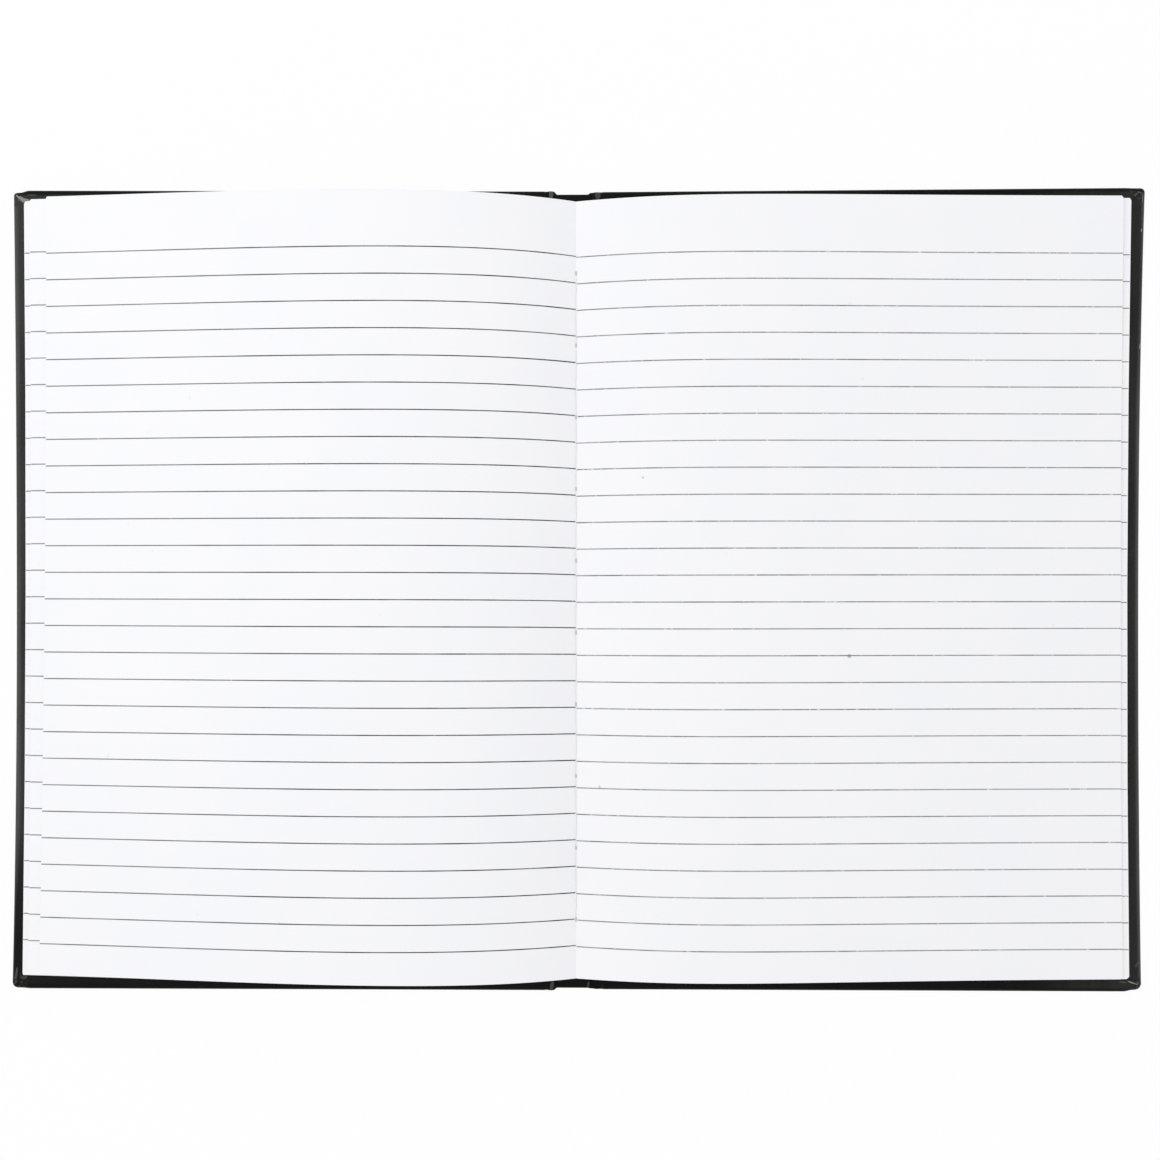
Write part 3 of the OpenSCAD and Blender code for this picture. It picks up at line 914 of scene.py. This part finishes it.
def ruling_ink(name, dark, light, gaps, far):
    """Thin grey printing ink that thins out to paper in short gaps, and is paler towards the fore-edge."""
    finish, start, place, (x, _, _) = new_finish(name)
    wear = place.noise(900, 3, 0.65)
    tone = place.noise(120, 2, 0.5).between(0.3, 0.7).mix(grey(dark), grey(light))
    tone = (x.size().between(70 * MM, 110 * MM) * far).mix(tone, grey(0.5))
    tone = (x.size().between(LINE_ENDS * MM, (LINE_ENDS + 1) * MM) * 0.3 * far).mix(tone, grey(0.8))
    colour = wear.between(gaps, gaps + 0.12).mix(tone, grey(0.66))
    surface(start, base_color=colour, roughness=0.8, specular=0.2)
    return finish


def cotton_thread():
    """Bleached cotton, its fibres running along the ply."""
    finish, start, place, _ = new_finish("cotton_thread")
    fibre = place.noise(4000, 3, 0.6, (3, 0.6, 3))
    colour = fibre.between(0.3, 0.7).mix((0.89, 0.89, 0.9, 1), (0.94, 0.94, 0.95, 1))
    surface(start, base_color=colour, roughness=0.85, specular=0.2, normal=fibre.bump(0.00003, 0.5))
    return finish


# Worn spots and painted highlights on the case: x, y, angle in degrees, half length, half width and strength
# The first four are painted highlights on the joint ends; corner ones mix scuffs with mitre-fold highlight
CASE_SCUFFS_AND_HIGHLIGHTS = ((-6.2, 107.6, 90, 2.2, 1.1, 0.2), (6.5, 107.3, 90, 2.2, 1.3, 0.13),
              (-6.0, -107.6, 80, 2.2, 0.9, 0.15), (3.9, -107.3, 80, 1.6, 0.5, 0.12),
              (-150.25, 106.4, -38, 2.2, 1.0, 0.6), (-148.9, 106.3, -14, 2.4, 0.5, 0.55),
              (-151.4, 107.15, -45, 1.4, 0.3, 0.95), (-147.6, 107.6, 0, 2.4, 0.5, 0.08),
              (152.4, 107.2, -20, 0.8, 0.3, 0.3), (151.4, 106.6, 60, 1.0, 0.3, 0.2),
              (153.2, 105.6, 88, 2.4, 0.3, 0.25), (152.6, 65.8, 80, 1.3, 0.25, 0.8),
              (153.0, 70.7, 80, 0.8, 0.2, 0.7), (152.9, 97.0, 85, 0.8, 0.25, 0.7),
              (-150.2, -105.6, 25, 1.6, 0.8, 0.12), (-152.2, -104.6, 82, 3.0, 0.5, 0.16),
              (150.8, -105.9, -19, 2.4, 0.32, 0.6), (148.2, -105.7, -5, 2.0, 0.4, 0.12),
              (151.9, -101.0, 60, 1.6, 0.6, 0.08))
SCUFF_REACH = 5.5


def case_leatherette():
    """Black leatherette: fine pebbled grain, uneven gloss, grey scuffs along edges and corners, and painted
    highlights along the rims and on the joint ends.
    """
    finish, start, place, (x, y, _) = new_finish("case_leatherette")
    warp = place.noise(420, 2, 0.5)
    bent = place.node("ShaderNodeVectorMath", {"operation": "ADD"},
                      {0: place, 1: warp.node("ShaderNodeVectorMath", {"operation": "SCALE"},
                                              {0: warp, "Scale": 0.0007})})
    pebble = bent.cells(1500, 0.35)
    fine = place.noise(5200, 3, 0.6)
    grain = pebble * 0.8 + fine * 0.35
    rub = place.noise(90, 4, 0.6)
    grit = place.noise(1100, 3, 0.7)
    streaky = place.noise(260, 3, 0.6, (1, 0.12, 1))
    up = y * (1 / (COVER_Y * MM))
    # Painted highlight band on the left rim and painted reflection band at the right rim's outer edge
    bowed_in = (1 - up * up) * (0.8 * MM)
    bowed_left = bowed_in - (0 - up).between(0.55, 0.9) * (2.2 * MM) - x
    left_rim_highlight = bowed_left.between((COVER_X - 3.2) * MM, (COVER_X - 0.4) * MM) * 0.85
    bowed_right = bowed_in - up.between(0.4, 0.9) * (0.9 * MM) + up.between(-0.95, -0.5) * (0.2 * MM) + x
    right_rim_reflection = bowed_right.between((COVER_X - 1.7) * MM, (COVER_X + 0.1) * MM)
    on_rim = 1 - y.size().between((COVER_Y - 5.0) * MM, (COVER_Y - 1.5) * MM)
    towards_tail = (0 - up).between(0.5, 0.85)
    # Painted light on each cover towards its fore-edge, stronger on the left and fading towards the tail
    outer = (0 - x).between(80 * MM, 148 * MM) * (0.36 - 0.3 * towards_tail)
    outer = outer.most(x.between(112 * MM, 150 * MM) * 0.24)
    outer = outer * (1 - y.size().between((COVER_Y - 1.5) * MM, (COVER_Y - 0.3) * MM))
    # Both painted light bands together, broken up by streaky noise like rub
    rim_sheen_and_rub = (left_rim_highlight.most(right_rim_reflection) * on_rim).most(outer) * (0.65 + 0.35 * streaky.between(0.3, 0.7))
    corner = x.size().between((COVER_X - SCUFF_REACH) * MM, COVER_X * MM)
    corner = corner * y.size().between((COVER_Y - SCUFF_REACH) * MM, COVER_Y * MM)
    scuff_and_highlight = corner * grit.between(0.5, 0.75) * 0.35
    for mark_x, mark_y, angle, length, width, depth in CASE_SCUFFS_AND_HIGHLIGHTS:
        across, along = x - mark_x * MM, y - mark_y * MM
        turn_x, turn_y = math.cos(math.radians(angle)), math.sin(math.radians(angle))
        reach = ((across * turn_x + along * turn_y).near(0, length * MM)
                 * (along * turn_x - across * turn_y).near(0, width * MM))
        scuff_and_highlight = scuff_and_highlight.most((reach + (grit - 0.5) * 0.5).between(0.25, 0.6) * depth)
    tone = rub.between(0.35, 0.7).mix((0.002, 0.002, 0.0019, 1), (0.004, 0.004, 0.0038, 1))
    # Where the painted light falls, the near-black cloth turns lighter grey
    tone = rim_sheen_and_rub.mix(tone, (0.1, 0.1, 0.096, 1))
    # Scuffs and the painted highlights both turn the cloth pale grey
    colour = scuff_and_highlight.mix(tone, (0.42, 0.43, 0.40, 1))
    roughness = 0.36 + 0.1 * rub.between(0.3, 0.7) + 0.2 * scuff_and_highlight + 0.15 * rim_sheen_and_rub
    surface(start, base_color=colour, roughness=roughness, specular=0.09,
            normal=grain.bump(0.00005, 0.4))
    return finish


def white_endpaper():
    """Smooth white endpaper, a little thicker than the leaves."""
    finish, start, place, _ = new_finish("white_endpaper")
    fibre = place.noise(3600, 3, 0.6)
    colour = place.noise(30, 2, 0.5).between(0.3, 0.7).mix((0.88, 0.88, 0.87, 1), (0.92, 0.92, 0.91, 1))
    surface(start, base_color=colour, roughness=0.7, specular=0.3, normal=fibre.bump(0.00002, 0.5))
    return finish


def grey_millboard():
    """Grey recycled board with dark and light fibres."""
    finish, start, place, _ = new_finish("grey_millboard")
    fibre = place.noise(1800, 4, 0.7, (1, 0.4, 1))
    colour = fibre.between(0.3, 0.75).mix((0.20, 0.18, 0.155, 1), (0.42, 0.39, 0.34, 1))
    surface(start, base_color=colour, roughness=0.9, specular=0.2, normal=fibre.bump(0.00008, 0.6))
    return finish


GAUZE_PITCH = 1.2 * MM


def glued_gauze():
    """Open cotton gauze set in pale glue: two crossed sets of threads."""
    finish, start, place, (x, y, _) = new_finish("glued_gauze")
    warp = start.math("SINE", x * (2 * math.pi / GAUZE_PITCH)).size()
    weft = start.math("SINE", y * (2 * math.pi / GAUZE_PITCH)).size()
    thread = warp.between(0.75, 0.95).most(weft.between(0.75, 0.95))
    colour = thread.mix((0.62, 0.56, 0.42, 1), (0.86, 0.84, 0.76, 1))
    surface(start, base_color=colour, roughness=0.7, specular=0.3, normal=thread.bump(0.0001, 0.6))
    return finish


def white_floor():
    """A plain white floor that holds the soft shadow and is white in reflections.

    It is nearly clear to the eye, so that the white world shows through it, and the covers where they hang
    at their limits.
    """
    finish, start, _, _ = new_finish("white_floor")
    eye = start.node("ShaderNodeLightPath", output="Is Camera Ray")
    mirrored = start.node("ShaderNodeLightPath", output="Is Glossy Ray")
    mirrored = mirrored.most(start.node("ShaderNodeLightPath", output="Is Transmission Ray"))
    plain = start.node("ShaderNodeBsdfDiffuse", {}, {"Color": grey(0.9)})
    glow = start.node("ShaderNodeEmission", {}, {"Color": grey(1.0), "Strength": 1.0})
    clear = start.node("ShaderNodeBsdfTransparent", {}, {"Color": grey(1.0)})
    lit = start.node("ShaderNodeMixShader", {}, {0: mirrored * FLOOR_GLOW, 1: plain, 2: glow})
    share = start.node("ShaderNodeMixShader", {}, {0: eye * FLOOR_GLOW, 1: lit, 2: clear})
    start.node("ShaderNodeOutputMaterial", {}, {"Surface": share})
    return finish


# Light, floor and camera

# The floor and the camera's place are in millimetres, the lamp and the dome in metres and shares of white
FLOOR_GLOW = 0.96
FLOOR_HALF = 4000.0
FLOOR_GAP = 0.05
DOME_LEVEL = 0.852
KEY_SHARE = 0.218
KEY_DISTANCE = 0.75
KEY_SIZE = 0.6
KEY_AIM = (-0.50, 0.35, 0.90)
CAMERA_PLACE = (8.73, 4.77, 434.29)
CAMERA_YAW = 0.936
CAMERA_PITCH = 0.260
PHOTO_SIDE = 1160
FOCAL_PX = 1592


def make_floor():
    """One wide level sheet just under the cover."""
    corners = np.array([[-1, -1], [1, -1], [1, 1], [-1, 1]]) * FLOOR_HALF
    points = np.column_stack([corners, np.full(4, -FLOOR_GAP)])
    floor = put_mesh("floor", (points, [np.arange(4)[None, :]]), white_floor())


def make_lights():
    """A wide soft lamp to the upper left and an even white dome.

    The lamp's energy grows with the square of its distance, which keeps its light on the pages.
    """
    aim = np.array(KEY_AIM) / np.linalg.norm(KEY_AIM)
    lamp = bpy.data.lights.new("key", "AREA")
    lamp.size = KEY_SIZE
    lamp.energy = KEY_SHARE * math.pi ** 2 * KEY_DISTANCE ** 2
    key = bpy.data.objects.new("key", lamp)
    key.matrix_world = Matrix.Translation(aim * KEY_DISTANCE) @ direction_matrix(aim)
    bpy.context.scene.collection.objects.link(key)
    world = bpy.data.worlds.new("dome")
    world.use_nodes = True
    world.node_tree.nodes.clear()
    start = Shade(world.node_tree, None)
    seen = start.node("ShaderNodeLightPath", output="Is Camera Ray")
    strength = DOME_LEVEL + seen * (1 - DOME_LEVEL)
    sky = start.node("ShaderNodeBackground", {}, {"Color": grey(1.0), "Strength": strength})
    start.node("ShaderNodeOutputWorld", {}, {"Surface": sky})
    bpy.context.scene.world = world


def direction_matrix(back):
    """A turn whose own +Z looks along back."""
    z = np.array(back, float)
    x = np.cross([0, 1, 0], z)
    x /= np.linalg.norm(x)
    y = np.cross(z, x)
    return Matrix([[x[i], y[i], z[i]] for i in range(3)]).to_4x4()


def make_camera():
    """The photograph's view, from straight above and turned a hair to the left and down."""
    lens = bpy.data.cameras.new("camera")
    lens.sensor_width = 36
    lens.lens = 36 * FOCAL_PX / PHOTO_SIDE
    lens.clip_start = 0.01
    lens.clip_end = 20
    camera = bpy.data.objects.new("camera", lens)
    yaw = Matrix.Rotation(math.radians(CAMERA_YAW), 4, "Y")
    pitch = Matrix.Rotation(-math.radians(CAMERA_PITCH), 4, "X")
    camera.matrix_world = Matrix.Translation([c * MM for c in CAMERA_PLACE]) @ (yaw @ pitch)
    bpy.context.scene.collection.objects.link(camera)
    bpy.context.scene.camera = camera


# The notebook's pieces

def dress_nodes(board):
    """The CAD nodes that stay: spine card and gauze."""
    for name, finish in (("spine_card", board), ("spine_lining", glued_gauze())):
        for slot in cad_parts[name].material_slots:
            slot.material = finish


def make_pages():
    """Leaves, ruling and thread, which all ride on the book block."""
    paper = page_paper()
    left_shuffle = np.random.default_rng(LEFT_SEED)
    right_shuffle = np.random.default_rng(RIGHT_SEED)
    left = stack_heights(LEFT_STACK, left_shuffle)
    right = stack_heights(RIGHT_STACK, right_shuffle)
    pieces = (("left_sections", bound_leaves(LEFT_STACK, left, left_shuffle)),
              ("right_sections", bound_leaves(RIGHT_STACK, right, right_shuffle)),
              ("open_section", open_section(left[-1], right[-1])),
              ("section_backs", section_backs()))
    for name, solid in pieces:
        piece = put_mesh(name, solid, paper)
        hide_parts("page_block")
        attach(piece, "book_block")
    page_height = open_page_height(left[-1][-1], right[-1][-1])
    left_ink = ruling_ink("left_ink", 0.04, 0.12, 0.66, 0.3)
    right_ink = ruling_ink("right_ink", 0.19, 0.33, 0.58, 0.1)
    inks = (("left_ruling", LEFT_STACK, left, left_shuffle, "ruling_left", left_ink),
            ("right_ruling", RIGHT_STACK, right, right_shuffle, "ruling_right", right_ink))
    for name, stack, sections, shuffle, node, ink in inks:
        piece = put_mesh(name, ruling(stack, sections, page_height, shuffle), ink)
        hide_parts(node)
        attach(piece, "book_block")
    thread = put_mesh("stitches", sewing(), cotton_thread())
    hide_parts("sewing_thread")
    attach(thread, "book_block")


def make_case(board):
    """Cloth, board and endpaper of both covers. The board rides on its cover."""
    leatherette = case_leatherette()
    paper = white_endpaper()
    for name, stack, shape in (("front", LEFT_STACK, FRONT_HALF), ("back", RIGHT_STACK, BACK_HALF)):
        side = stack.side
        joint_start = (side * (CARD_X - BEND_MARGIN) * MM, 0, 0)
        joint_end = (side * (BOARD_X + BEND_MARGIN) * MM, 0, 0)
        cloth = put_mesh(name + "_case_cloth", case_cloth(side, shape), leatherette)
        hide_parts(name + "_cover_cloth", "spine_cloth")
        name + "_cover"
        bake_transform(cloth)
        core = put_mesh(name + "_millboard", millboard(side, shape), board)
        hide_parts(name + "_board")
        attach(core, name + "_cover")
        sheet = put_mesh(name + "_endpaper", endpaper(stack), paper)
        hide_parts(name + "_pastedown")
        name + "_cover"
        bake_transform(sheet)


bpy.context.scene.view_settings.view_transform = "Standard"
make_camera()
make_lights()
make_floor()
millboard_finish = grey_millboard()
dress_nodes(millboard_finish)
make_pages()
make_case(millboard_finish)
